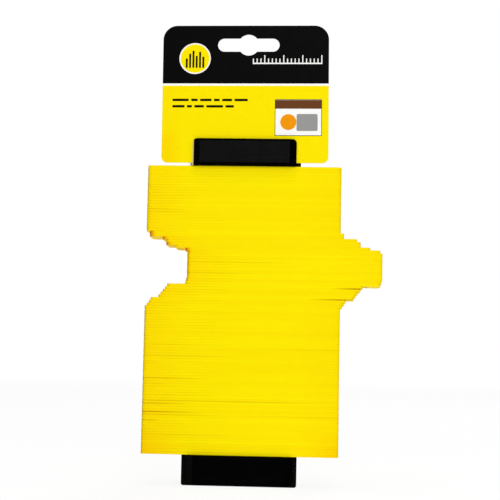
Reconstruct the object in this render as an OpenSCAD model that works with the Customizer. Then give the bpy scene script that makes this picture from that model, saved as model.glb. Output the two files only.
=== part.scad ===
// Contour gauge: a stack of thin plastic leaves that slide on two tie bolts between hollow end caps,
// with a retail hang card hooked on the upper cap.
// Millimetres. +Z runs up the stack, +X is the way the leaves slide, the front faces -Y.
// The origin is the centre of the lower cap's foot face.

/* [Leaves] */
// Number of leaf pairs in the stack, counted from the top
pair_count = 52; // [30:1:52]
// Length of a leaf along its slide
leaf_length = 101.6; // [95:0.2:140]
// Depth of a leaf, front edge to back edge
leaf_depth = 18; // [16:0.5:30]
// Thickness of one leaf
leaf_thick = 1.32; // [0.8:0.02:2.4]
// Air gap between two leaves
leaf_gap = 0.12; // [0.1:0.01:0.3]
// Radius of a leaf's corners in plan
leaf_corner = 2.5; // [0.5:0.1:5]
// How far a leaf slides either way from the middle
leaf_travel = 24; // [10:0.5:25]
// Extra slot length past each end of the travel
stop_clear = 0.5; // [0.2:0.1:1]
// Clearance between a bolt and each long side of the slot
slot_clear = 0.3; // [0.1:0.05:0.6]

/* [Pressed profile] */
// Leaf that starts the pressed profile, counted from the top
profile_start = 24; // [2:1:30]
// Depth of the pressed profile
profile_depth = 21.7; // [0:0.1:22]
// How far leaves end out of line with each other
ragged_ends = 0.05; // [0:0.05:0.3]

/* [End caps] */
// Width of a cap body
cap_width = 59; // [55:0.5:80]
// Height of a cap along the stack
cap_height = 15.4; // [13.5:0.1:24]
// Thickness of the cap's side, back and end walls
cap_wall = 2; // [1.4:0.1:2.6]
// Thickness of the wall that presses on the leaves
press_wall = 3; // [2:0.1:4]
// Radius of the cap body's outer corners
cap_corner = 1.2; // [0.4:0.1:1.8]
// Thickness of the stiffening ribs in a cap
rib_thick = 1.4; // [1:0.1:2]
// Height of the ring that centres a bolt head or nut
ring_height = 1.2; // [0.6:0.1:2]
// Wall of that ring
ring_wall = 1.2; // [0.8:0.1:2]

/* [Cap covers] */
// Width of a cover's front panel
cover_width = 54.4; // [52:0.2:58]
// Height of a cover's front panel from the leaf side
cover_height = 14.2; // [12.5:0.1:24]
// Thickness of the front panel
cover_thick = 1.5; // [1.2:0.1:2.5]
// Radius of the front panel's outer corners
cover_corner = 2; // [0.5:0.1:3]
// Width of the sloping flanks of the front panel
flank_width = 3.6; // [1:0.1:6]
// Fall of the sloping flanks towards the sides
flank_fall = 1; // [0.4:0.1:1.1]
// How far the panel overhangs its neck
neck_inset = 0.8; // [0.5:0.1:1.2]
// Depth of the plug inside the cap body
plug_depth = 2.4; // [1.8:0.1:4]
// Wall of the hollow plug
plug_wall = 1.4; // [1:0.1:2]
// Clearance round the plug
plug_clear = 0.15; // [0.05:0.05:0.3]
// Radius of the snap bead on each plug side
bead_radius = 0.4; // [0.3:0.05:0.6]

/* [Tie bolts] */
// Diameter of a tie bolt
bolt_dia = 4; // [3:0.5:5]
// Distance between the two bolts
bolt_span = 36; // [30:0.5:40]
// Clearance round a bolt in the caps
bolt_clear = 0.15; // [0.05:0.05:0.3]
// Width across flats of the bolt heads and nuts
hex_flats = 7; // [7:0.5:8]
// Height of a bolt head
head_height = 2.8; // [2:0.1:4]
// Height of a lock nut's hexagon
nut_height = 3; // [2.4:0.1:4]
// Height of the lock nut's round collar
collar_height = 1.4; // [1:0.1:2]
// Bolt end that stands out of the nut
bolt_end = 1; // [0.5:0.1:1.5]
// Outside diameter of a spring washer
washer_dia = 8; // [7:0.1:8]
// Sheet thickness of a spring washer
washer_thick = 0.5; // [0.3:0.05:0.8]
// Height of a spring washer's cone
washer_cone = 0.4; // [0.2:0.05:0.6]

/* [Hang card] */
// Width of the card
card_width = 87.5; // [70:0.5:120]
// Height of the card
card_height = 73.3; // [55:0.1:110]
// Thickness of the card
card_thick = 0.5; // [0.4:0.05:0.8]
// Radius of the card's top corners
card_top_corner = 7.6; // [2:0.1:12]
// Radius of the card's bottom corners
card_foot_corner = 3.2; // [1:0.1:5]
// Gap between the card's bottom edge and the leaves
card_lift = 1.6; // [1:0.1:3]
// Clearance of the card in the groove behind the cover
card_clear = 0.15; // [0.1:0.01:0.3]
// Clearance of the card's notch round the neck
notch_clear = 0.55; // [0.5:0.05:0.7]
// Lean of the card on the neck, in degrees
card_lean = 0.4; // [0:0.1:0.8]
// Length of the hang slot
hang_length = 32.5; // [20:0.5:40]
// Height of the hang slot
hang_height = 7; // [5:0.1:10]
// Diameter of the round hole in the middle of the hang slot
hang_hole = 11.2; // [10:0.1:14]
// Distance from the card's top edge to the slot's centre line
hang_drop = 10.5; // [9:0.1:16]
// Distance of the slot's middle to the right of the card's centre line
hang_shift = 1.5; // [0:0.1:3]

/* [Hidden] */
$fn = 64;
leaf_count = 2 * pair_count;
leaf_pitch = leaf_thick + leaf_gap;
slot_width = bolt_dia + 2 * slot_clear;
slot_length = bolt_span + bolt_dia + 2 * (leaf_travel + stop_clear);
stack_height = leaf_count * leaf_pitch + leaf_gap;
stack_top = cap_height + stack_height;

// Height of the hollow in a cap, between its end wall and the wall that presses on the leaves
hollow_height = cap_height - cap_wall - press_wall;
hollow_width = cap_width - 2 * cap_wall;
hollow_depth = leaf_depth - cap_wall;
// Bore of the ring that centres a bolt head or nut, past the hexagon's corners and the washer
hex_corners = hex_flats / cos(30);
ring_bore = max(hex_corners, washer_dia) + 2 * bolt_clear;
front_y = -leaf_depth / 2;
groove_width = card_thick + 2 * card_clear;
neck_width = cover_width - 2 * neck_inset;
neck_height = cover_height - neck_inset;
// Spring washer's seat and the nut's seat on it, measured from the leaf side of the upper cap
washer_height = washer_thick + washer_cone;
nut_seat = press_wall + washer_height;
bolt_top = nut_seat + nut_height + collar_height + bolt_end;

notch_width = neck_width + 2 * notch_clear;
notch_height = neck_height - card_lift;
notch_corner = cover_corner - neck_inset;
card_foot_z = stack_top + card_lift;
hang_slot_z = card_height - hang_drop;

// The pressed outline: leaves past the start of the profile, and the share of its depth they stand out
profile_points = [
    [0, 0], [1, 0.08], [2, 0.08], [3, 0.39], [4, 0.48], [5, 0.48], [6, 0.71], [7, 0.95],
    [8, 1], [17, 1], [19, 0.96], [20, 0.53], [24, 0.32], [25, 0.14], [27, 0.05], [28, 0]
];
// Step in degrees that scatters the ragged ends without repeating
end_scatter = 137.5;

function pressed(leaf) = profile_depth * lookup(leaf - profile_start, profile_points);
function leaf_push(leaf) = pressed(leaf) + ragged_ends * sin(leaf * end_scatter);
function leaf_floor(leaf) = cap_height + leaf_gap + (leaf_count - leaf) * leaf_pitch;
function pair_name(pair) = str("leaf_pair_", pair < 10 ? "0" : "", pair);

FIXED_NODES = [
    "lower_cap_body", "lower_cap_cover", "upper_cap_body", "upper_cap_cover",
    "tie_bolts", "spring_washers", "lock_nuts", "hang_card"
];

// Rectangle on the X axis, standing up from Y = 0, with its two far corners rounded
module round_topped(width, height, radius) {
    translate([-width / 2, 0])
        square([width, height - radius]);
    translate([-width / 2 + radius, 0])
        square([width - 2 * radius, height]);
    for (side = [-1, 1])
        translate([side * (width / 2 - radius), height - radius])
            circle(r = radius);
}

// Rectangle round the origin with four round corners
module round_plate(width, height, radius) {
    for (turn = [0, 180])
        rotate(turn)
            round_topped(width, height / 2, radius);
}

// Long slot round the origin with two round ends
module round_ended(length, width) {
    end_x = (length - width) / 2;
    translate([-end_x, -width / 2])
        square([2 * end_x, width]);
    for (side = [-1, 1])
        translate([side * end_x, 0])
            circle(d = width);
}

// Stands an outline drawn in X and Z up, from one depth back to another
module slab(front, back) {
    translate([0, back, 0])
        rotate([90, 0, 0])
            linear_extrude(back - front)
                children();
}

module each_bolt() {
    for (side = [-1, 1])
        translate([side * bolt_span / 2, 0, 0])
            children();
}

// Turns a lower cap piece over to the top of the stack
module at_top() {
    translate([0, 0, stack_top + cap_height])
        mirror([0, 0, 1])
            children();
}

// Outline seen from the front, drawn from the leaf side down to rounded outer corners
module hanging_outline(width, height, radius) {
    translate([0, cap_height])
        mirror([0, 1])
            round_topped(width, height, radius);
}

// One leaf: a thin plate with a long slot that runs on the two bolts
module leaf(number) {
    translate([leaf_push(number), 0, leaf_floor(number)])
        linear_extrude(leaf_thick)
            difference() {
                round_plate(leaf_length, leaf_depth, leaf_corner);
                round_ended(slot_length, slot_width);
            }
}

module leaf_pair(pair) {
    color("gold")
        for (number = [2 * pair - 1, 2 * pair])
            leaf(number);
}

// Groove or bead that runs up both sides of a cover's plug
module snap_lines(side_x, radius) {
    for (side = [-1, 1])
        translate([side * side_x, front_y + plug_depth / 2, cap_wall + plug_clear])
            cylinder(r = radius, h = hollow_height - 2 * plug_clear);
}

// Hollow cap body, open to the front, as it stands at the lower end
module cap_body() {
    color("black") {
        difference() {
            slab(front_y, -front_y)
                hanging_outline(cap_width, cap_height, cap_corner);
            translate([-hollow_width / 2, front_y - cap_wall, cap_wall])
                cube([hollow_width, hollow_depth + cap_wall, hollow_height]);
            each_bolt()
                translate([0, 0, cap_wall])
                    cylinder(d = bolt_dia + 2 * bolt_clear, h = cap_height);
            snap_lines(hollow_width / 2, bead_radius);
        }
        cap_ribs();
        each_bolt()
            translate([0, 0, cap_height - press_wall - ring_height])
                difference() {
                    cylinder(d = ring_bore + 2 * ring_wall, h = ring_height);
                    translate([0, 0, -ring_height])
                        cylinder(d = ring_bore, h = 3 * ring_height);
                }
    }
}

// Stiffening ribs across the hollow: one in the middle and one outside each bolt, clear of the plug
module cap_ribs() {
    rib_front = front_y + plug_depth + plug_clear;
    rib_place = bolt_span / 2 + ring_bore / 2 + ring_wall;
    rib_gap = (hollow_width / 2 - rib_place - rib_thick) / 2;
    for (place = [-rib_place - rib_gap - rib_thick, -rib_thick / 2, rib_place + rib_gap])
        translate([place, rib_front, cap_wall])
            cube([rib_thick, front_y + hollow_depth - rib_front, hollow_height]);
}

// Front panel with sloping flanks, on a neck with a groove behind it, and a hollow plug
module cap_cover() {
    panel_back = front_y - groove_width;
    panel_front = panel_back - cover_thick;
    plug_width = hollow_width - 2 * plug_clear;
    plug_height = hollow_height - 2 * plug_clear;
    color("black") {
        intersection() {
            slab(panel_front, panel_back)
                hanging_outline(cover_width, cover_height, cover_corner);
            linear_extrude(cap_height)
                polygon([
                    [-cover_width / 2, panel_back],
                    [-cover_width / 2, panel_front + flank_fall],
                    [-cover_width / 2 + flank_width, panel_front],
                    [cover_width / 2 - flank_width, panel_front],
                    [cover_width / 2, panel_front + flank_fall],
                    [cover_width / 2, panel_back]
                ]);
        }
        slab(panel_back, front_y)
            hanging_outline(neck_width, neck_height, notch_corner);
        slab(front_y, front_y + plug_depth)
            translate([-plug_width / 2, cap_wall + plug_clear])
                difference() {
                    square([plug_width, plug_height]);
                    translate([plug_wall, plug_wall])
                        square([plug_width - 2 * plug_wall, plug_height - 2 * plug_wall]);
                }
        snap_lines(plug_width / 2, bead_radius - plug_clear);
    }
}

module lower_cap_body() {
    cap_body();
}

module lower_cap_cover() {
    cap_cover();
}

module upper_cap_body() {
    at_top()
        cap_body();
}

module upper_cap_cover() {
    at_top()
        cap_cover();
}

// Two long bolts, heads in the lower cap and threaded ends in the upper one
module tie_bolts() {
    shank = press_wall + stack_height + bolt_top;
    point = bolt_end / 2;
    color("silver")
        each_bolt()
            translate([0, 0, cap_height - press_wall]) {
                translate([0, 0, -head_height])
                    cylinder(d = hex_corners, h = head_height, $fn = 6);
                cylinder(d = bolt_dia, h = shank - point);
                translate([0, 0, shank - point])
                    cylinder(d1 = bolt_dia, d2 = bolt_dia - 2 * point, h = point);
            }
}

// Dished washers that press the upper cap on the leaves and hold them by friction
module spring_washers() {
    inner = bolt_dia / 2 + bolt_clear;
    outer = washer_dia / 2;
    color("silver")
        each_bolt()
            translate([0, 0, stack_top + press_wall])
                rotate_extrude()
                    polygon([
                        [outer, 0],
                        [outer, washer_thick],
                        [inner, washer_height],
                        [inner, washer_cone]
                    ]);
}

// Lock nuts: a hexagon and a round collar for the locking ring
module lock_nuts() {
    color("silver")
        each_bolt()
            translate([0, 0, stack_top + nut_seat])
                difference() {
                    union() {
                        cylinder(d = hex_corners, h = nut_height, $fn = 6);
                        cylinder(d = hex_flats - 2 * bolt_clear, h = nut_height + collar_height);
                    }
                    translate([0, 0, -nut_height])
                        cylinder(d = bolt_dia + bolt_clear, h = 3 * nut_height + collar_height);
                }
}

// Hang slot: a long round-ended slot with a round hole in its middle
module hang_slot() {
    round_ended(hang_length, hang_height);
    circle(d = hang_hole);
}

// Turns the card's outline about the middle of its notch, as it hangs on the neck with some play
module leaning() {
    translate([0, notch_height / 2])
        rotate(card_lean)
            translate([0, -notch_height / 2])
                children();
}

// Retail card, notched to slide down over the upper cover's neck
module hang_card() {
    shoulder = card_height / 2;
    color("khaki")
        translate([0, 0, card_foot_z])
            slab(front_y - card_clear - card_thick, front_y - card_clear)
                leaning()
                    difference() {
                        translate([0, shoulder]) {
                            round_topped(card_width, card_height - shoulder, card_top_corner);
                            mirror([0, 1])
                                round_topped(card_width, shoulder, card_foot_corner);
                        }
                        translate([0, -card_lift])
                            round_topped(notch_width, notch_height + card_lift + notch_clear, notch_corner);
                        translate([hang_shift, hang_slot_z])
                            hang_slot();
                    }
}

lower_cap_body();
lower_cap_cover();
upper_cap_body();
upper_cap_cover();
tie_bolts();
spring_washers();
lock_nuts();
hang_card();
for (pair = [1 : pair_count])
    leaf_pair(pair);
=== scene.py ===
import math
import bpy
import bmesh
from mathutils import Matrix, Vector


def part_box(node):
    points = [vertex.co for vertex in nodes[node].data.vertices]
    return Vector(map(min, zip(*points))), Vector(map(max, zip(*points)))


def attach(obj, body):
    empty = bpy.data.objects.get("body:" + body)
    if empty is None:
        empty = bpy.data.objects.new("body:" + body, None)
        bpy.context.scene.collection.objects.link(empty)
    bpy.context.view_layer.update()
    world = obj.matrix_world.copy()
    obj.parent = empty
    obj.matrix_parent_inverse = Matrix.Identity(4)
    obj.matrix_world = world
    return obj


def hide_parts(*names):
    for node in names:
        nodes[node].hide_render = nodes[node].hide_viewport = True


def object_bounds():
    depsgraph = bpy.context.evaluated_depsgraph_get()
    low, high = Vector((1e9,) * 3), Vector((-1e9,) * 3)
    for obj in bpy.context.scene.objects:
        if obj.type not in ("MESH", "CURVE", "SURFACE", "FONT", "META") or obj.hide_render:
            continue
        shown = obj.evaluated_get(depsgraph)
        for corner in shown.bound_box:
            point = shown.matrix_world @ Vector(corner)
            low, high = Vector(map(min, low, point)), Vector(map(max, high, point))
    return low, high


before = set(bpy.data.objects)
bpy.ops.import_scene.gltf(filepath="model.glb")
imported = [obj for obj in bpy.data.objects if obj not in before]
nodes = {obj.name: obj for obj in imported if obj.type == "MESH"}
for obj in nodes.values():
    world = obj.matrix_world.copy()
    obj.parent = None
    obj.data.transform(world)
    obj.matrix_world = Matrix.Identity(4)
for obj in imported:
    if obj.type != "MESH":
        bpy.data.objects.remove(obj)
cadLow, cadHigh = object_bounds()
mm = 0.001
leafNames = sorted(name for name in nodes if name.startswith("leaf_pair_"))
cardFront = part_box("hang_card")[0].y
print("frame loaded:", len(nodes), "nodes,", len(leafNames), "leaf pairs")


# colours are written as screen values and turned into linear light here
def screenColour(red, green, blue):
    linear = []
    for value in (red, green, blue):
        share = value / 255
        linear.append(share / 12.92 if share <= 0.04045 else ((share + 0.055) / 1.055) ** 2.4)
    return (*linear, 1.0)


# a node's name in camelCase, for what is made from it
def camelName(name):
    first, *others = name.split("_")
    return first + "".join(word.title() for word in others)


def addNode(tree, kind, **settings):
    made = tree.nodes.new(kind)
    for name, value in settings.items():
        setattr(made, name, value)
    return made


def join(tree, source, target):
    tree.links.new(source, target)


# a math node with its second input either a number or another socket
def addMath(tree, operation, first, second=0.0):
    made = addNode(tree, "ShaderNodeMath", operation=operation)
    for number, value in enumerate((first, second)):
        if isinstance(value, bpy.types.NodeSocket):
            join(tree, value, made.inputs[number])
        else:
            made.inputs[number].default_value = value
    return made.outputs["Value"]


def addRange(tree, value, fromLow, fromHigh, toLow, toHigh):
    made = addNode(tree, "ShaderNodeMapRange", clamp=True)
    join(tree, value, made.inputs["Value"])
    made.inputs["From Min"].default_value = fromLow
    made.inputs["From Max"].default_value = fromHigh
    made.inputs["To Min"].default_value = toLow
    made.inputs["To Max"].default_value = toHigh
    return made.outputs["Result"]


# mixes two colours, each given as a colour or a socket
def addMix(tree, share, first, second):
    made = addNode(tree, "ShaderNodeMix", data_type="RGBA")
    join(tree, share, made.inputs["Factor"])
    for name, value in (("A", first), ("B", second)):
        socket = next(item for item in made.inputs if item.name == name and item.type == "RGBA")
        if isinstance(value, bpy.types.NodeSocket):
            join(tree, value, socket)
        else:
            socket.default_value = value
    return next(item for item in made.outputs if item.type == "RGBA")


def startGroup(name, inputs, outputs):
    group = bpy.data.node_groups.new(name, "ShaderNodeTree")
    for socketName, kind, value in inputs:
        socket = group.interface.new_socket(socketName, in_out="INPUT", socket_type=kind)
        if value is not None:
            socket.default_value = value
    for socketName in outputs:
        group.interface.new_socket(socketName, in_out="OUTPUT", socket_type="NodeSocketFloat")
    return group, addNode(group, "NodeGroupInput"), addNode(group, "NodeGroupOutput")


def placeGroup(tree, group, place, **values):
    made = addNode(tree, "ShaderNodeGroup", node_tree=group)
    join(tree, place, made.inputs["Place"])
    for name, value in values.items():
        made.inputs[name].default_value = value
    return made


# fine moulded or calendered surface: cloudy gloss and a small height
grainLook = {"cloudDetail": 4.0, "cloudLow": 0.3, "cloudHigh": 0.7, "grainDetail": 3.0}


def makeGrainGroup():
    group, start, end = startGroup(
        "surfaceGrain",
        [
            ("Place", "NodeSocketVector", None),
            ("Grain", "NodeSocketFloat", 2500.0),
            ("Cloud", "NodeSocketFloat", 90.0),
            ("Gloss", "NodeSocketFloat", 0.35),
            ("Dull", "NodeSocketFloat", 0.55),
        ],
        ["Roughness", "Height"],
    )
    cloud = addNode(group, "ShaderNodeTexNoise")
    join(group, start.outputs["Place"], cloud.inputs["Vector"])
    join(group, start.outputs["Cloud"], cloud.inputs["Scale"])
    cloud.inputs["Detail"].default_value = grainLook["cloudDetail"]
    spread = addNode(group, "ShaderNodeMapRange")
    join(group, cloud.outputs["Fac"], spread.inputs["Value"])
    spread.inputs["From Min"].default_value = grainLook["cloudLow"]
    spread.inputs["From Max"].default_value = grainLook["cloudHigh"]
    join(group, start.outputs["Gloss"], spread.inputs["To Min"])
    join(group, start.outputs["Dull"], spread.inputs["To Max"])
    join(group, spread.outputs["Result"], end.inputs["Roughness"])
    grain = addNode(group, "ShaderNodeTexNoise")
    join(group, start.outputs["Place"], grain.inputs["Vector"])
    join(group, start.outputs["Grain"], grain.inputs["Scale"])
    grain.inputs["Detail"].default_value = grainLook["grainDetail"]
    join(group, grain.outputs["Fac"], end.inputs["Height"])
    return group


# thin scratches and rubbed spots from handling
rubLook = {"scale": 1.0, "detail": 2.0, "thinLow": 0.6, "thinHigh": 0.72}


def makeRubGroup():
    group, start, end = startGroup(
        "handlingRub",
        [
            ("Place", "NodeSocketVector", None),
            ("Length", "NodeSocketFloat", 60.0),
            ("Fineness", "NodeSocketFloat", 1400.0),
            ("Amount", "NodeSocketFloat", 0.3),
        ],
        ["Mask"],
    )
    axes = addNode(group, "ShaderNodeSeparateXYZ")
    join(group, start.outputs["Place"], axes.inputs["Vector"])
    long = addMath(group, "MULTIPLY", axes.outputs["X"], start.outputs["Length"])
    across = addMath(group, "MULTIPLY", axes.outputs["Y"], start.outputs["Fineness"])
    rise = addMath(group, "MULTIPLY", axes.outputs["Z"], start.outputs["Fineness"])
    stretched = addNode(group, "ShaderNodeCombineXYZ")
    join(group, long, stretched.inputs["X"])
    join(group, across, stretched.inputs["Y"])
    join(group, rise, stretched.inputs["Z"])
    lines = addNode(group, "ShaderNodeTexNoise")
    join(group, stretched.outputs["Vector"], lines.inputs["Vector"])
    lines.inputs["Scale"].default_value = rubLook["scale"]
    lines.inputs["Detail"].default_value = rubLook["detail"]
    thin = addRange(group, lines.outputs["Fac"], rubLook["thinLow"], rubLook["thinHigh"], 0.0, 1.0)
    join(group, addMath(group, "MULTIPLY", thin, start.outputs["Amount"]), end.inputs["Mask"])
    return group


grainGroup = makeGrainGroup()
rubGroup = makeRubGroup()


def startMaterial(name):
    material = bpy.data.materials.new(name)
    material.use_nodes = True
    tree = material.node_tree
    tree.nodes.clear()
    output = addNode(tree, "ShaderNodeOutputMaterial")
    shader = addNode(tree, "ShaderNodeBsdfPrincipled")
    join(tree, shader.outputs["BSDF"], output.inputs["Surface"])
    place = addNode(tree, "ShaderNodeTexCoord").outputs["Object"]
    return material, tree, shader, place


def addBump(tree, shader, height, strength, distance):
    bump = addNode(tree, "ShaderNodeBump")
    bump.inputs["Strength"].default_value = strength
    bump.inputs["Distance"].default_value = distance
    join(tree, height, bump.inputs["Height"])
    join(tree, bump.outputs["Normal"], shader.inputs["Normal"])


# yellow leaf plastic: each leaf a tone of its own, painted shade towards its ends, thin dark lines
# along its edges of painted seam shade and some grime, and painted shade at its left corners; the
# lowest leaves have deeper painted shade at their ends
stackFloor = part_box(leafNames[-1])[0].z
leafLook = {
    "light": screenColour(253, 233, 0),
    "deep": screenColour(252, 227, 0),
    "pitch": 1.44 * mm,
    "seat": 0.06 * mm,
    "specular": 0.02,
    "bump": 0.12,
    "bumpDepth": 0.05 * mm,
    # painted shade towards the leaf ends, less at the right and deeper on the lowest leaves
    "end": screenColour(252, 205, 0),
    "endStart": 0.028,
    "endStop": 0.052,
    "endShare": 0.45,
    "leftStop": -0.025,
    "rightStart": 0.03,
    "rightShare": 0.45,
    "lowReach": 13 * mm,
    "lowGain": 1.45,
    "lowRightReach": 30 * mm,
    "lowRightGain": 0.4,
    # dark lines along the leaf edges: painted seam shade with some grime
    "edge": screenColour(206, 150, 0),
    "edgeStart": 0.0,
    "edgeStop": 0.046,
    "edgeLeast": 0.21,
    "edgeMost": 0.76,
    "edgeRight": 0.38,
    "lineStart": 0.34,
    "lineStop": 0.47,
    "patchLength": 35.0,
    "patchStep": 3.7,
    "patchScale": 1.0,
    "patchStart": 0.4,
    "patchStop": 0.75,
    "patchLeast": 0.08,
    "patchMost": 0.9,
    "rimStart": 0.3,
    "rimStop": 0.8,
    # painted shade at the leaves' left corners, warmer in the notch and deeper under a step
    "corner": screenColour(150, 126, 10),
    "cornerShare": 0.75,
    "cornerStart": 0.25 * mm,
    "cornerStop": 0.9 * mm,
    "cornerReach": 1.2 * mm,
    "slopeShare": 0.35,
    "slopeLeast": 0.5 * mm,
    "notchCorner": screenColour(190, 118, 0),
    "notchStop": 1.7 * mm,
    "notchDepth": 20 * mm,
    "stepCorner": screenColour(214, 108, 14),
    "stepStop": 3.4 * mm,
    "stepShare": 0.95,
    "stepLeast": 1.4 * mm,
}
# painted shade in seams that stand a little open: number from the floor of the stack, share, and
# where along X it closes; a pair takes the marks at its own seams
openSeamShade = {
    "colour": screenColour(178, 116, 0),
    "below": 0.5,
    "above": 2.5,
    "start": 0.12,
    "stop": 0.34,
    "marks": (
        (88, 0.16, -0.045, -0.025),
        (87, 0.15, -0.045, -0.025),
        (69, 0.14, 0.01, 0.03),
        (65, 0.13, -0.01, 0.005),
        (60, 0.9, 0.058, 0.046),
        (56, 0.75, 0.049, 0.034),
        (39, 0.1, -0.02, 0.0),
        (38, 0.12, 0.03, 0.01),
        (35, 0.14, -0.018, 0.0),
        (27, 0.36, -0.036, -0.015),
        (21, 0.1, -0.04, -0.01),
        (19, 0.25, 0.015, 0.045),
        (18, 0.4, -0.043, -0.022),
        (15, 0.65, -0.043, -0.02),
        (14, 0.2, -0.035, -0.01),
        (14, 0.15, 0.03, 0.0),
        (12, 0.35, -0.045, -0.041),
        (7, 0.1, -0.02, 0.0),
    ),
}


# 1 at the stack's floor, falling to 0 at a reach above it
def nearFloor(height, reach):
    return max(0.0, 1 - (height - stackFloor) / reach)


def makeLeafPlastic(name, low, high, overhang):
    look = leafLook
    material, tree, shader, place = startMaterial(name)
    axes = addNode(tree, "ShaderNodeSeparateXYZ")
    join(tree, place, axes.inputs["Vector"])
    facing = addNode(tree, "ShaderNodeSeparateXYZ")
    join(tree, place.node.outputs["Normal"], facing.inputs["Vector"])
    onRim = addMath(tree, "ABSOLUTE", facing.outputs["Z"])
    onRim = addRange(tree, onRim, look["rimStart"], look["rimStop"], 1.0, 0.0)

    # shade of each leaf
    rise = addMath(tree, "SUBTRACT", axes.outputs["Z"], stackFloor - look["seat"])
    steps = addMath(tree, "DIVIDE", rise, look["pitch"])
    leafNumber = addMath(tree, "FLOOR", steps)
    batch = addNode(tree, "ShaderNodeTexWhiteNoise", noise_dimensions="1D")
    join(tree, leafNumber, batch.inputs["W"])
    colour = addMix(tree, batch.outputs["Value"], look["light"], look["deep"])

    # painted shade towards the ends, less at the right
    toRight = addMath(tree, "SUBTRACT", axes.outputs["X"], (low.x + high.x) / 2)
    fromCentre = addMath(tree, "ABSOLUTE", toRight)
    endMost = look["endShare"] * (1 + look["lowGain"] * nearFloor(low.z, look["lowReach"]))
    endShare = addRange(tree, fromCentre, look["endStart"], look["endStop"], 0.0, endMost)
    rightMost = look["rightShare"] + look["lowRightGain"] * nearFloor(low.z, look["lowRightReach"])
    endSide = addRange(tree, toRight, look["leftStop"], look["rightStart"], 1.0, rightMost)
    colour = addMix(tree, addMath(tree, "MULTIPLY", endShare, endSide), colour, look["end"])

    # uneven dark lines along the edges: painted seam shade, with some grime where the edges are handled
    fromMiddle = addMath(tree, "SUBTRACT", addMath(tree, "FRACT", steps), 0.5)
    fromMiddle = addMath(tree, "ABSOLUTE", fromMiddle)
    lineShare = addRange(tree, fromMiddle, look["lineStart"], look["lineStop"], 0.0, 1.0)
    seamShadeAndGrime = addRange(
        tree, fromCentre, look["edgeStart"], look["edgeStop"], look["edgeLeast"], look["edgeMost"],
    )
    along = addNode(tree, "ShaderNodeCombineXYZ")
    join(tree, addMath(tree, "MULTIPLY", axes.outputs["X"], look["patchLength"]), along.inputs["X"])
    join(tree, addMath(tree, "MULTIPLY", leafNumber, look["patchStep"]), along.inputs["Y"])
    patch = addNode(tree, "ShaderNodeTexNoise", noise_dimensions="2D")
    join(tree, along.outputs["Vector"], patch.inputs["Vector"])
    patch.inputs["Scale"].default_value = look["patchScale"]
    uneven = addRange(
        tree, patch.outputs["Fac"],
        look["patchStart"], look["patchStop"], look["patchLeast"], look["patchMost"],
    )
    leftward = addRange(tree, toRight, look["leftStop"], look["rightStart"], 1.0, look["edgeRight"])
    for share in (seamShadeAndGrime, uneven, leftward, onRim):
        lineShare = addMath(tree, "MULTIPLY", lineShare, share)
    colour = addMix(tree, lineShare, colour, look["edge"])

    # painted shade in the open seams
    first = (low.z - stackFloor) / look["pitch"]
    for number, most, closing, closed in openSeamShade["marks"]:
        if first - openSeamShade["below"] < number < first + openSeamShade["above"]:
            away = addMath(tree, "ABSOLUTE", addMath(tree, "SUBTRACT", steps, number))
            seamShadeShare = addRange(tree, away, openSeamShade["start"], openSeamShade["stop"], most, 0.0)
            reach = addRange(tree, axes.outputs["X"], closing, closed, 1.0, 0.0)
            seamShadeShare = addMath(tree, "MULTIPLY", seamShadeShare, reach)
            seamShadeShare = addMath(tree, "MULTIPLY", seamShadeShare, onRim)
            colour = addMix(tree, seamShadeShare, colour, openSeamShade["colour"])

    # painted shade at the left corner, wider and warmer in the notch and under a step
    fromLeft = addMath(tree, "SUBTRACT", axes.outputs["X"], low.x)
    fromFront = addMath(tree, "SUBTRACT", axes.outputs["Y"], low.y)
    onFront = addRange(tree, fromFront, look["cornerReach"], 2 * look["cornerReach"], 1.0, 0.0)
    inNotch = min(1.0, (low.x - cadLow.x) / look["notchDepth"])
    cornerShadeColour = tuple(a + (b - a) * inNotch for a, b in zip(look["corner"], look["notchCorner"]))
    cornerStop = look["cornerStop"] + (look["notchStop"] - look["cornerStop"]) * inNotch
    cornerMost = look["slopeShare"] if overhang < -look["slopeLeast"] else look["cornerShare"]
    cornerShare = addRange(tree, fromLeft, look["cornerStart"], cornerStop, cornerMost, 0.0)
    colour = addMix(tree, addMath(tree, "MULTIPLY", cornerShare, onFront), colour, cornerShadeColour)
    if overhang > look["stepLeast"]:
        stepShare = addRange(
            tree, fromLeft, look["cornerStart"], look["stepStop"], look["stepShare"], 0.0,
        )
        colour = addMix(tree, addMath(tree, "MULTIPLY", stepShare, onFront), colour, look["stepCorner"])
    join(tree, colour, shader.inputs["Base Color"])

    grain = placeGroup(tree, grainGroup, place, Grain=1800.0, Cloud=70.0, Gloss=0.42, Dull=0.58)
    join(tree, grain.outputs["Roughness"], shader.inputs["Roughness"])
    rub = placeGroup(tree, rubGroup, place, Length=30.0, Fineness=900.0, Amount=0.6)
    height = addMath(tree, "ADD", grain.outputs["Height"], rub.outputs["Mask"])
    addBump(tree, shader, height, look["bump"], look["bumpDepth"])
    shader.inputs["Specular IOR Level"].default_value = look["specular"]
    return material
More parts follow.
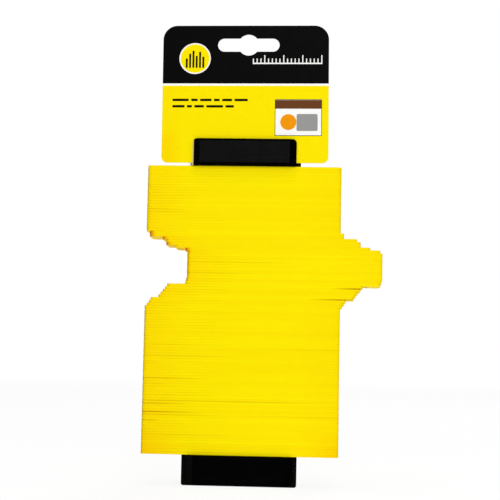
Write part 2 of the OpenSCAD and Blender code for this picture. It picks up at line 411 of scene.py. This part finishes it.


# black cap plastic, satin, with a fine moulded grain and light rubbing; a cover's flanks and rims get
# painted light and shade, and pale marks are measured from a piece's left end and foot: colour, where a
# mark starts to fade, where it ends and how high it reaches
capLook = {
    "rubbed": screenColour(30, 30, 30),
    "sideStart": 0.06,
    "sideStop": 0.14,
    "frontStart": 0.3,
    "frontStop": 0.6,
    "rimSoft": 0.3 * mm,
    "bump": 0.25,
    "bumpDepth": 0.06 * mm,
    "segments": 3,
}
bodyLook = {
    "face": screenColour(2, 2, 2),
    "left": screenColour(2, 2, 2),
    "right": screenColour(2, 2, 2),
    "faceShine": 0.02,
    "rimShine": 0.02,
    "headRim": 0.0,
    "footRim": 0.0,
    "gloss": 0.42,
    "dull": 0.6,
    "rub": 0.35,
    "edge": 0.25 * mm,
}
capPieces = {
    "lower_cap_body": {**bodyLook, "marks": ()},
    "lower_cap_cover": {
        "face": screenColour(1, 1, 1),
        # painted light: the left flank is lighter than the face
        "left": screenColour(9, 9, 9),
        "right": screenColour(1, 1, 1),
        "faceShine": 0.007,
        "rimShine": 0.005,
        "headRim": 0.0,
        "footRim": 0.0,
        "gloss": 0.34,
        "dull": 0.5,
        "rub": 0.15,
        "edge": 0.2 * mm,
        "marks": (),
    },
    "upper_cap_body": {
        **bodyLook,
        "marks": (
            # painted highlight: pale glare along the body's left end, near its foot
            (screenColour(160, 150, 126), 2.4 * mm, 2.8 * mm, 2.2 * mm),
            (screenColour(254, 253, 240), 0.9 * mm, 1.5 * mm, 2.2 * mm),
        ),
    },
    "upper_cap_cover": {
        # painted light and shade: a lighter face than the lower cover's, darker flanks and darker head
        # and foot rims
        "face": screenColour(6, 6, 6),
        "left": screenColour(3, 3, 3),
        "right": screenColour(1, 1, 1),
        "faceShine": 0.025,
        "rimShine": 0.004,
        "headRim": 0.9 * mm,
        "footRim": 1.5 * mm,
        "gloss": 0.34,
        "dull": 0.5,
        "rub": 0.35,
        "edge": 0.2 * mm,
        "marks": ((screenColour(232, 206, 140), 0.65 * mm, 1.0 * mm, 14 * mm),),
    },
}


def makeCapPlastic(name, look, low, high):
    material, tree, shader, place = startMaterial(name)
    axes = addNode(tree, "ShaderNodeSeparateXYZ")
    join(tree, place, axes.inputs["Vector"])
    facing = addNode(tree, "ShaderNodeSeparateXYZ")
    join(tree, place.node.outputs["Normal"], facing.inputs["Vector"])
    onRight = addRange(tree, facing.outputs["X"], capLook["sideStart"], capLook["sideStop"], 0.0, 1.0)
    onLeft = addRange(tree, facing.outputs["X"], -capLook["sideStop"], -capLook["sideStart"], 1.0, 0.0)
    onRim = addMath(tree, "MAXIMUM", onLeft, onRight)
    grain = placeGroup(
        tree, grainGroup, place, Grain=3800.0, Cloud=160.0, Gloss=look["gloss"], Dull=look["dull"],
    )
    rub = placeGroup(tree, rubGroup, place, Length=45.0, Fineness=1600.0, Amount=look["rub"])
    # painted light and shade: the flanks, and a cover's head and foot rims, take colours of their own
    colour = addMix(tree, onRight, look["face"], look["right"])
    fromFoot = addMath(tree, "SUBTRACT", axes.outputs["Z"], low.z)
    if look["headRim"]:
        footStop = look["footRim"] + capLook["rimSoft"]
        onFoot = addRange(tree, fromFoot, look["footRim"], footStop, 1.0, 0.0)
        headStart = high.z - low.z - look["headRim"]
        onHead = addRange(tree, fromFoot, headStart - capLook["rimSoft"], headStart, 0.0, 1.0)
        onEnds = addMath(tree, "MAXIMUM", onFoot, onHead)
        colour = addMix(tree, onEnds, colour, look["right"])
        onRim = addMath(tree, "MAXIMUM", onRim, onEnds)
    colour = addMix(tree, onLeft, colour, look["left"])
    colour = addMix(tree, rub.outputs["Mask"], colour, capLook["rubbed"])
    if look["marks"]:
        fromLeft = addMath(tree, "SUBTRACT", axes.outputs["X"], low.x)
        forward = addMath(tree, "MULTIPLY", facing.outputs["Y"], -1.0)
        onFront = addRange(tree, forward, capLook["frontStart"], capLook["frontStop"], 0.0, 1.0)
    for markColour, fading, ended, height in look["marks"]:
        markShare = addRange(tree, fromLeft, fading, ended, 1.0, 0.0)
        upTo = addRange(tree, fromFoot, height, height + capLook["rimSoft"], 1.0, 0.0)
        for share in (upTo, onFront):
            markShare = addMath(tree, "MULTIPLY", markShare, share)
        colour = addMix(tree, markShare, colour, markColour)
    join(tree, colour, shader.inputs["Base Color"])
    join(tree, grain.outputs["Roughness"], shader.inputs["Roughness"])
    addBump(tree, shader, grain.outputs["Height"], capLook["bump"], capLook["bumpDepth"])
    shine = addRange(tree, onRim, 0.0, 1.0, look["faceShine"], look["rimShine"])
    join(tree, shine, shader.inputs["Specular IOR Level"])
    return material


# zinc plated and spring steel of the hidden hardware
steelLook = {
    "worn": 0.6,
    "bump": 0.1,
    "bumpDepth": 0.03 * mm,
    "zinc": {"colour": screenColour(205, 206, 208), "gloss": 0.25, "dull": 0.4},
    "spring": {"colour": screenColour(150, 152, 158), "gloss": 0.2, "dull": 0.35},
}


def makeSteel(name, colour, gloss, dull):
    material, tree, shader, place = startMaterial(name)
    grain = placeGroup(tree, grainGroup, place, Grain=2600.0, Cloud=300.0, Gloss=gloss, Dull=dull)
    rub = placeGroup(tree, rubGroup, place, Length=200.0, Fineness=2600.0, Amount=0.5)
    dark = tuple(value * steelLook["worn"] for value in colour[:3]) + (1.0,)
    join(tree, addMix(tree, rub.outputs["Mask"], colour, dark), shader.inputs["Base Color"])
    join(tree, grain.outputs["Roughness"], shader.inputs["Roughness"])
    addBump(tree, shader, grain.outputs["Height"], steelLook["bump"], steelLook["bumpDepth"])
    shader.inputs["Metallic"].default_value = 1.0
    return material


# coated card: flat print colour with a little mottle, or bare pulp board on the back and edges
stockLook = {"fibreShade": 0.86, "specular": 0.014, "bump": 0.08, "bumpDepth": 0.03 * mm}


def makeCardStock(name, colour, mottle, gloss, dull, edge=None):
    material, tree, shader, place = startMaterial(name)
    grain = placeGroup(tree, grainGroup, place, Grain=1500.0, Cloud=220.0, Gloss=gloss, Dull=dull)
    fibre = placeGroup(tree, rubGroup, place, Length=500.0, Fineness=1100.0, Amount=mottle)
    shade = tuple(value * stockLook["fibreShade"] for value in colour[:3]) + (1.0,)
    printed = addMix(tree, fibre.outputs["Mask"], colour, shade)
    if edge:
        axes = addNode(tree, "ShaderNodeSeparateXYZ")
        join(tree, place, axes.inputs["Vector"])
        byEdge = addRange(tree, axes.outputs["X"], edge["start"], edge["stop"], 1.0, 0.0)
        byFoot = addRange(
            tree, axes.outputs["Z"], edge["low"], edge["high"], edge["most"], edge["least"],
        )
        printed = addMix(tree, addMath(tree, "MULTIPLY", byEdge, byFoot), printed, edge["colour"])
    join(tree, printed, shader.inputs["Base Color"])
    join(tree, grain.outputs["Roughness"], shader.inputs["Roughness"])
    addBump(tree, shader, grain.outputs["Height"], stockLook["bump"], stockLook["bumpDepth"])
    shader.inputs["Specular IOR Level"].default_value = stockLook["specular"]
    return material


def dress(name, material):
    node = nodes[name]
    node.data.materials.clear()
    node.data.materials.append(material)


# rounded edges, as moulding, stamping or cutting leaves them
softLook = {"weld": 0.002 * mm, "angle": math.radians(40), "profile": 0.5}


def addBevel(piece, name, width, segments):
    bevel = piece.modifiers.new(name, "BEVEL")
    bevel.width = width
    bevel.segments = segments
    bevel.limit_method = "ANGLE"
    bevel.angle_limit = softLook["angle"]
    bevel.profile = softLook["profile"]


# joins a node's loose triangles first, so that the edges are found
def softenEdges(name, width, segments):
    weld = nodes[name].modifiers.new("joinSeams", "WELD")
    weld.merge_threshold = softLook["weld"]
    addBevel(nodes[name], "softEdges", width, segments)


# the springs press the leaves together, so each one's flat faces come nearly up to its neighbours
def makePressedLeaf(closing):
    tree = bpy.data.node_groups.new("pressedLeaf", "GeometryNodeTree")
    tree.interface.new_socket("Geometry", in_out="INPUT", socket_type="NodeSocketGeometry")
    tree.interface.new_socket("Geometry", in_out="OUTPUT", socket_type="NodeSocketGeometry")
    start = addNode(tree, "NodeGroupInput")
    end = addNode(tree, "NodeGroupOutput")
    facing = addNode(tree, "ShaderNodeSeparateXYZ")
    join(tree, addNode(tree, "GeometryNodeInputNormal").outputs["Normal"], facing.inputs["Vector"])
    upOrDown = addMath(tree, "SIGN", facing.outputs["Z"])
    shift = addNode(tree, "ShaderNodeCombineXYZ")
    join(tree, addMath(tree, "MULTIPLY", upOrDown, closing), shift.inputs["Z"])
    move = addNode(tree, "GeometryNodeSetPosition")
    join(tree, start.outputs["Geometry"], move.inputs["Geometry"])
    join(tree, shift.outputs["Vector"], move.inputs["Offset"])
    join(tree, move.outputs["Geometry"], end.inputs["Geometry"])
    return tree


leafFit = {
    "closing": 0.058 * mm,
    "edgeLeast": 0.02 * mm,
    "edgeSpread": 0.035 * mm,
    "spreadStep": 0.618,
    "segments": 2,
}
pressedLeaf = makePressedLeaf(leafFit["closing"])
aboveLeft = cadLow.x
for number, leafName in enumerate(leafNames):
    low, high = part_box(leafName)
    dress(leafName, makeLeafPlastic(camelName(leafName) + "Plastic", low, high, low.x - aboveLeft))
    aboveLeft = low.x
    spread = math.fmod(number * leafFit["spreadStep"], 1.0) ** 2
    softenEdges(leafName, leafFit["edgeLeast"] + leafFit["edgeSpread"] * spread, leafFit["segments"])
    modifiers = nodes[leafName].modifiers
    modifiers.new("pressedTogether", "NODES").node_group = pressedLeaf
    # pressed after the weld and before the bevel
    modifiers.move(2, 1)
print("leaves dressed")

zincSteel = makeSteel("zincSteel", **steelLook["zinc"])
springSteel = makeSteel("springSteel", **steelLook["spring"])
for capName, look in capPieces.items():
    low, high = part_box(capName)
    dress(capName, makeCapPlastic(camelName(capName) + "Plastic", look, low, high))
    softenEdges(capName, look["edge"], capLook["segments"])
dress("tie_bolts", zincSteel)
dress("lock_nuts", zincSteel)
dress("spring_washers", springSteel)
print("caps and hardware dressed")


# the printed hang card, from the CAD card's own outline, cut where its colours meet
cardLook = {
    "bandHeight": 31.1,
    "lineHeight": 1.2,
    "pivot": 172.78,
    "reach": 67.4,
    "lean": 0.4,
    "edgeSoft": 0.07 * mm,
    "edgeSegments": 2,
    "frontFacing": -0.5,
}
# the yellow deepens towards the card's left edge, most at its foot
yellowEdge = {
    "colour": screenColour(250, 190, 0),
    "start": -40.5 * mm,
    "stop": -33 * mm,
    "low": 179 * mm,
    "high": 185 * mm,
    "most": 0.36,
    "least": 0.1,
}
inkLooks = {
    "inkBlack": {"colour": screenColour(5, 5, 5), "mottle": 0.5, "gloss": 0.3, "dull": 0.42},
    "inkYellow": {
        "colour": screenColour(250, 228, 0),
        "mottle": 0.25,
        "gloss": 0.3,
        "dull": 0.42,
        "edge": yellowEdge,
    },
    "inkWhite": {"colour": screenColour(248, 248, 246), "mottle": 0.3, "gloss": 0.34, "dull": 0.46},
    "inkOrange": {"colour": screenColour(240, 150, 10), "mottle": 0.25, "gloss": 0.3, "dull": 0.42},
    "inkGrey": {"colour": screenColour(150, 150, 148), "mottle": 0.25, "gloss": 0.3, "dull": 0.42},
    "inkBrown": {"colour": screenColour(104, 62, 34), "mottle": 0.25, "gloss": 0.3, "dull": 0.42},
    "bareBoard": {"colour": screenColour(226, 222, 212), "mottle": 0.9, "gloss": 0.7, "dull": 0.85},
}
inks = {name: makeCardStock(name, **look) for name, look in inkLooks.items()}
cardLean = math.radians(cardLook["lean"])


# a place on the leaning card, from its centre line and its top edge in mm
def onCard(across, down):
    rise = cardLook["reach"] - down
    x = across * math.cos(cardLean) - rise * math.sin(cardLean)
    z = cardLook["pivot"] + across * math.sin(cardLean) + rise * math.cos(cardLean)
    return Vector((x * mm, cardFront, z * mm))


def finishPiece(name, shape, materials, body):
    mesh = bpy.data.meshes.new(name)
    shape.to_mesh(mesh)
    shape.free()
    piece = bpy.data.objects.new(name, mesh)
    bpy.context.scene.collection.objects.link(piece)
    for material in materials:
        mesh.materials.append(material)
    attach(piece, body)
    return piece


def makeCard():
    shape = bmesh.new()
    shape.from_mesh(nodes["hang_card"].data)
    bmesh.ops.remove_doubles(shape, verts=shape.verts[:], dist=softLook["weld"])
    upCard = Vector((-math.sin(cardLean), 0, math.cos(cardLean)))
    bandFloor = onCard(0, cardLook["bandHeight"])
    lineFloor = onCard(0, cardLook["bandHeight"] + cardLook["lineHeight"])
    for place in (bandFloor, lineFloor):
        everything = shape.verts[:] + shape.edges[:] + shape.faces[:]
        bmesh.ops.bisect_plane(shape, geom=everything, plane_co=place, plane_no=upCard)
    for face in shape.faces:
        middle = face.calc_center_median()
        if face.normal.y > cardLook["frontFacing"]:
            face.material_index = 3
        elif (middle - bandFloor).dot(upCard) > 0:
            face.material_index = 0
        elif (middle - lineFloor).dot(upCard) > 0:
            face.material_index = 1
        else:
            face.material_index = 2
    stock = [inks["inkBlack"], inks["inkWhite"], inks["inkYellow"], inks["bareBoard"]]
    card = finishPiece("printedCard", shape, stock, "hang_card")
    addBevel(card, "cutEdge", cardLook["edgeSoft"], cardLook["edgeSegments"])
    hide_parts("hang_card")


makeCard()

# flat printed marks, each laid on the card's front
inkThickness = 0.03 * mm


def layOnCard(shape, verts, across, down):
    upright = Matrix.Rotation(math.radians(90), 3, "X")
    spin = upright @ Matrix.Rotation(cardLean, 3, "Z")
    bmesh.ops.rotate(shape, verts=verts, cent=(0, 0, 0), matrix=spin)
    bmesh.ops.translate(shape, verts=verts, vec=onCard(across, down))


def addPlate(shape, across, down, width, height, rounding):
    before = set(shape.verts)
    bmesh.ops.create_grid(shape, x_segments=1, y_segments=1, size=0.5)
    corners = [vert for vert in shape.verts if vert not in before]
    bmesh.ops.scale(shape, verts=corners, vec=(width * mm, height * mm, 1.0))
    bmesh.ops.bevel(
        shape, geom=corners, affect="VERTICES", offset=rounding * mm, offset_type="OFFSET",
        segments=4, profile=0.5, material=-1,
    )
    layOnCard(shape, [vert for vert in shape.verts if vert not in before], across, down)


def raiseInk(shape, layer=1):
    made = bmesh.ops.extrude_face_region(shape, geom=shape.faces[:])
    lifted = [item for item in made["geom"] if isinstance(item, bmesh.types.BMVert)]
    bmesh.ops.translate(shape, verts=lifted, vec=(0, -inkThickness * layer, 0))
    bmesh.ops.recalc_face_normals(shape, faces=shape.faces[:])


def addDisc(shape, across, down, radius):
    before = set(shape.verts)
    bmesh.ops.create_circle(shape, cap_ends=True, radius=radius * mm, segments=48)
    layOnCard(shape, [vert for vert in shape.verts if vert not in before], across, down)


# a round badge: white rim, yellow field and a row of black bars of uneven length
badgeMarks = {
    "across": -26.8,
    "down": 17.7,
    "rim": 8.3,
    "field": 7.6,
    "bars": (5.0, 7.6, 9.2, 6.4, 8.6, 6.0),
    "step": 1.75,
    "barFoot": 5.0,
    "barWidth": 1.0,
    "barRounding": 0.15,
}


def makeBadge():
    rim = bmesh.new()
    addDisc(rim, badgeMarks["across"], badgeMarks["down"], badgeMarks["rim"])
    raiseInk(rim)
    finishPiece("badgeRim", rim, [inks["inkWhite"]], "hang_card")
    field = bmesh.new()
    addDisc(field, badgeMarks["across"], badgeMarks["down"], badgeMarks["field"])
    raiseInk(field, 2)
    finishPiece("badgeField", field, [inks["inkYellow"]], "hang_card")
    bars = bmesh.new()
    start = -badgeMarks["step"] * (len(badgeMarks["bars"]) - 1) / 2
    for number, length in enumerate(badgeMarks["bars"]):
        across = badgeMarks["across"] + start + number * badgeMarks["step"]
        down = badgeMarks["down"] + badgeMarks["barFoot"] - length / 2
        addPlate(bars, across, down, badgeMarks["barWidth"], length, badgeMarks["barRounding"])
    raiseInk(bars, 3)
    finishPiece("badgeBars", bars, [inks["inkBlack"]], "hang_card")


makeBadge()

# two lines of plain word bars on the yellow field
lineMarks = {
    "rows": (
        (-38.4, 39.9, (8.6, 3.4, 6.0, 3.0, 5.2, 7.0)),
        (-38.4, 43.3, (6.4, 2.6, 5.0, 8.8, 4.4)),
    ),
    "height": 1.25,
    "space": 1.3,
    "rounding": 0.35,
}


def makeWordBars():
    shape = bmesh.new()
    for left, down, words in lineMarks["rows"]:
        across = left
        for width in words:
            addPlate(shape, across + width / 2, down, width, lineMarks["height"], lineMarks["rounding"])
            across += width + lineMarks["space"]
    raiseInk(shape)
    finishPiece("wordBars", shape, [inks["inkBlack"]], "hang_card")


makeWordBars()

# a white panel with a thin frame and plain shapes in the card's colours
panelMarks = {
    "across": 27.9,
    "down": 49.2,
    "width": 24.6,
    "height": 19.4,
    "rounding": 0.3,
    "frame": 0.3,
    "sheetRounding": 0.25,
    "stripe": {"down": -7.0, "height": 4.6, "rounding": 0.05},
    "slab": {"across": 4.6, "down": 2.6, "width": 11.0, "height": 9.0, "rounding": 0.8},
    "disc": {"across": -5.2, "down": 2.4, "radius": 4.2},
}


def makePanel():
    across = panelMarks["across"]
    down = panelMarks["down"]
    border = bmesh.new()
    addPlate(border, across, down, panelMarks["width"], panelMarks["height"], panelMarks["rounding"])
    raiseInk(border)
    finishPiece("panelFrame", border, [inks["inkBlack"]], "hang_card")
    sheet = bmesh.new()
    width = panelMarks["width"] - 2 * panelMarks["frame"]
    height = panelMarks["height"] - 2 * panelMarks["frame"]
    addPlate(sheet, across, down, width, height, panelMarks["sheetRounding"])
    raiseInk(sheet, 2)
    finishPiece("panelSheet", sheet, [inks["inkWhite"]], "hang_card")
    stripe = panelMarks["stripe"]
    stripeShape = bmesh.new()
    addPlate(stripeShape, across, down + stripe["down"], width, stripe["height"], stripe["rounding"])
    raiseInk(stripeShape, 3)
    finishPiece("panelStripe", stripeShape, [inks["inkBrown"]], "hang_card")
    slab = panelMarks["slab"]
    slabShape = bmesh.new()
    addPlate(
        slabShape, across + slab["across"], down + slab["down"],
        slab["width"], slab["height"], slab["rounding"],
    )
    raiseInk(slabShape, 3)
    finishPiece("panelSlab", slabShape, [inks["inkGrey"]], "hang_card")
    disc = panelMarks["disc"]
    discShape = bmesh.new()
    addDisc(discShape, across + disc["across"], down + disc["down"], disc["radius"])
    raiseInk(discShape, 4)
    finishPiece("panelDisc", discShape, [inks["inkOrange"]], "hang_card")


makePanel()

# a plain rule with tick marks on the black band
ruleMarks = {
    "left": 4.0,
    "down": 20.3,
    "ticks": 18,
    "step": 2.0,
    "short": 2.25,
    "long": 4.05,
    "longEvery": 5,
    "longFirst": 3,
    "line": 0.55,
    "lineRounding": 0.04,
    "base": 0.7,
    "baseRounding": 0.05,
}


def makeRule():
    shape = bmesh.new()
    length = ruleMarks["ticks"] * ruleMarks["step"]
    middle = ruleMarks["left"] + length / 2
    width = length + ruleMarks["line"]
    addPlate(shape, middle, ruleMarks["down"], width, ruleMarks["base"], ruleMarks["baseRounding"])
    for tick in range(ruleMarks["ticks"] + 1):
        isLong = tick % ruleMarks["longEvery"] == ruleMarks["longFirst"]
        height = ruleMarks["long"] if isLong else ruleMarks["short"]
        across = ruleMarks["left"] + tick * ruleMarks["step"]
        down = ruleMarks["down"] - (ruleMarks["base"] + height) / 2
        addPlate(shape, across, down, ruleMarks["line"], height, ruleMarks["lineRounding"])
    raiseInk(shape)
    finishPiece("bandRule", shape, [inks["inkWhite"]], "hang_card")


makeRule()
print("card printed")


# camera fitted to the photograph's corners
cameraLook = {
    "place": (31.4 * mm, -600 * mm, 69.0 * mm),
    "yaw": -2.68,
    "pitch": 5.05,
    "roll": 1.08,
    "lens": 82.3,
    "sensor": 36,
    "clipStart": 0.01,
    "clipEnd": 50,
}


def makeCamera():
    data = bpy.data.cameras.new("photoCamera")
    data.sensor_width = cameraLook["sensor"]
    data.lens = cameraLook["lens"]
    data.clip_start = cameraLook["clipStart"]
    data.clip_end = cameraLook["clipEnd"]
    camera = bpy.data.objects.new("photoCamera", data)
    bpy.context.scene.collection.objects.link(camera)
    heading = Matrix.Rotation(math.radians(-cameraLook["yaw"]), 4, "Z")
    tilt = Matrix.Rotation(math.radians(90 + cameraLook["pitch"]), 4, "X")
    lean = Matrix.Rotation(math.radians(cameraLook["roll"]), 4, "Z")
    camera.matrix_world = Matrix.Translation(cameraLook["place"]) @ heading @ tilt @ lean
    bpy.context.scene.camera = camera


makeCamera()

# pale floor that reads white and keeps the shadow, and a white surround
stageLook = {
    "floorSize": 12.0,
    "floorColour": screenColour(244, 244, 244),
    "floorGlow": 0.87,
    "fadeStart": 0.5,
    "fadeStop": 2.0,
    "fill": 0.25,
}


def makeFloor():
    shape = bmesh.new()
    bmesh.ops.create_grid(shape, x_segments=1, y_segments=1, size=stageLook["floorSize"] / 2)
    mesh = bpy.data.meshes.new("paleFloor")
    shape.to_mesh(mesh)
    shape.free()
    floor = bpy.data.objects.new("paleFloor", mesh)
    bpy.context.scene.collection.objects.link(floor)
    material, tree, shader, place = startMaterial("palePaper")
    grain = placeGroup(tree, grainGroup, place, Grain=400.0, Cloud=8.0, Gloss=0.8, Dull=0.95)
    join(tree, grain.outputs["Roughness"], shader.inputs["Roughness"])
    shader.inputs["Base Color"].default_value = stageLook["floorColour"]
    shader.inputs["Specular IOR Level"].default_value = 0.0
    glow = addNode(tree, "ShaderNodeEmission")
    glow.inputs["Strength"].default_value = 1.0
    mix = addNode(tree, "ShaderNodeMixShader")
    path = addNode(tree, "ShaderNodeLightPath")
    seen = addMath(tree, "MAXIMUM", path.outputs["Is Camera Ray"], path.outputs["Is Glossy Ray"])
    away = addNode(tree, "ShaderNodeVectorMath", operation="LENGTH")
    join(tree, place, away.inputs[0])
    fade = addRange(
        tree, away.outputs["Value"],
        stageLook["fadeStart"], stageLook["fadeStop"], stageLook["floorGlow"], 1.0,
    )
    join(tree, addMath(tree, "MULTIPLY", seen, fade), mix.inputs["Fac"])
    join(tree, shader.outputs["BSDF"], mix.inputs[1])
    join(tree, glow.outputs["Emission"], mix.inputs[2])
    output = next(item for item in tree.nodes if item.type == "OUTPUT_MATERIAL")
    join(tree, mix.outputs["Shader"], output.inputs["Surface"])
    mesh.materials.append(material)


def makeSurround():
    world = bpy.data.worlds.new("whiteSurround")
    world.use_nodes = True
    tree = world.node_tree
    tree.nodes.clear()
    output = addNode(tree, "ShaderNodeOutputWorld")
    path = addNode(tree, "ShaderNodeLightPath")
    seen = addMath(tree, "MAXIMUM", path.outputs["Is Camera Ray"], path.outputs["Is Glossy Ray"])
    seen = addMath(tree, "MAXIMUM", seen, path.outputs["Is Transmission Ray"])
    surround = addNode(tree, "ShaderNodeBackground")
    surround.inputs["Color"].default_value = (1, 1, 1, 1)
    join(tree, addRange(tree, seen, 0.0, 1.0, stageLook["fill"], 1.0), surround.inputs["Strength"])
    join(tree, surround.outputs["Background"], output.inputs["Surface"])
    bpy.context.scene.world = world


# four soft lamps aimed at the stack and a narrow one for its foot
stackMiddle = (0.0, 0.0, 0.12)
lampLook = {
    "keyLamp": {"place": (0.38, -1.25, 0.7), "aim": stackMiddle, "size": 0.8, "power": 5.9},
    "fillLamp": {"place": (-0.15, -1.32, 0.5), "aim": stackMiddle, "size": 0.8, "power": 3.1},
    "backLamp": {"place": (0.3, 1.0, 1.0), "aim": stackMiddle, "size": 0.7, "power": 6.5},
    "topLamp": {"place": (0.0, -0.15, 1.5), "aim": stackMiddle, "size": 1.0, "power": 11.5},
    "footLamp": {
        "place": (0.05, -0.9, 0.06),
        "aim": (0.012, 0.0, 0.006),
        "size": 0.02,
        "power": 2.1,
        "spread": 6.0,
    },
}


def addLamp(name, place, aim, size, power, spread=None):
    if spread:
        data = bpy.data.lights.new(name, "SPOT")
        data.spot_size = math.radians(spread)
        data.spot_blend = 1.0
        data.shadow_soft_size = size
    else:
        data = bpy.data.lights.new(name, "AREA")
        data.shape = "SQUARE"
        data.size = size
    data.energy = power
    lamp = bpy.data.objects.new(name, data)
    bpy.context.scene.collection.objects.link(lamp)
    lamp.location = place
    lamp.rotation_mode = "QUATERNION"
    lamp.rotation_quaternion = (Vector(aim) - Vector(place)).to_track_quat("-Z", "Y")


makeFloor()
makeSurround()
for lampName, lampValues in lampLook.items():
    addLamp(lampName, **lampValues)
bpy.context.scene.view_settings.view_transform = "Standard"
print("camera, stage and lamps ready")
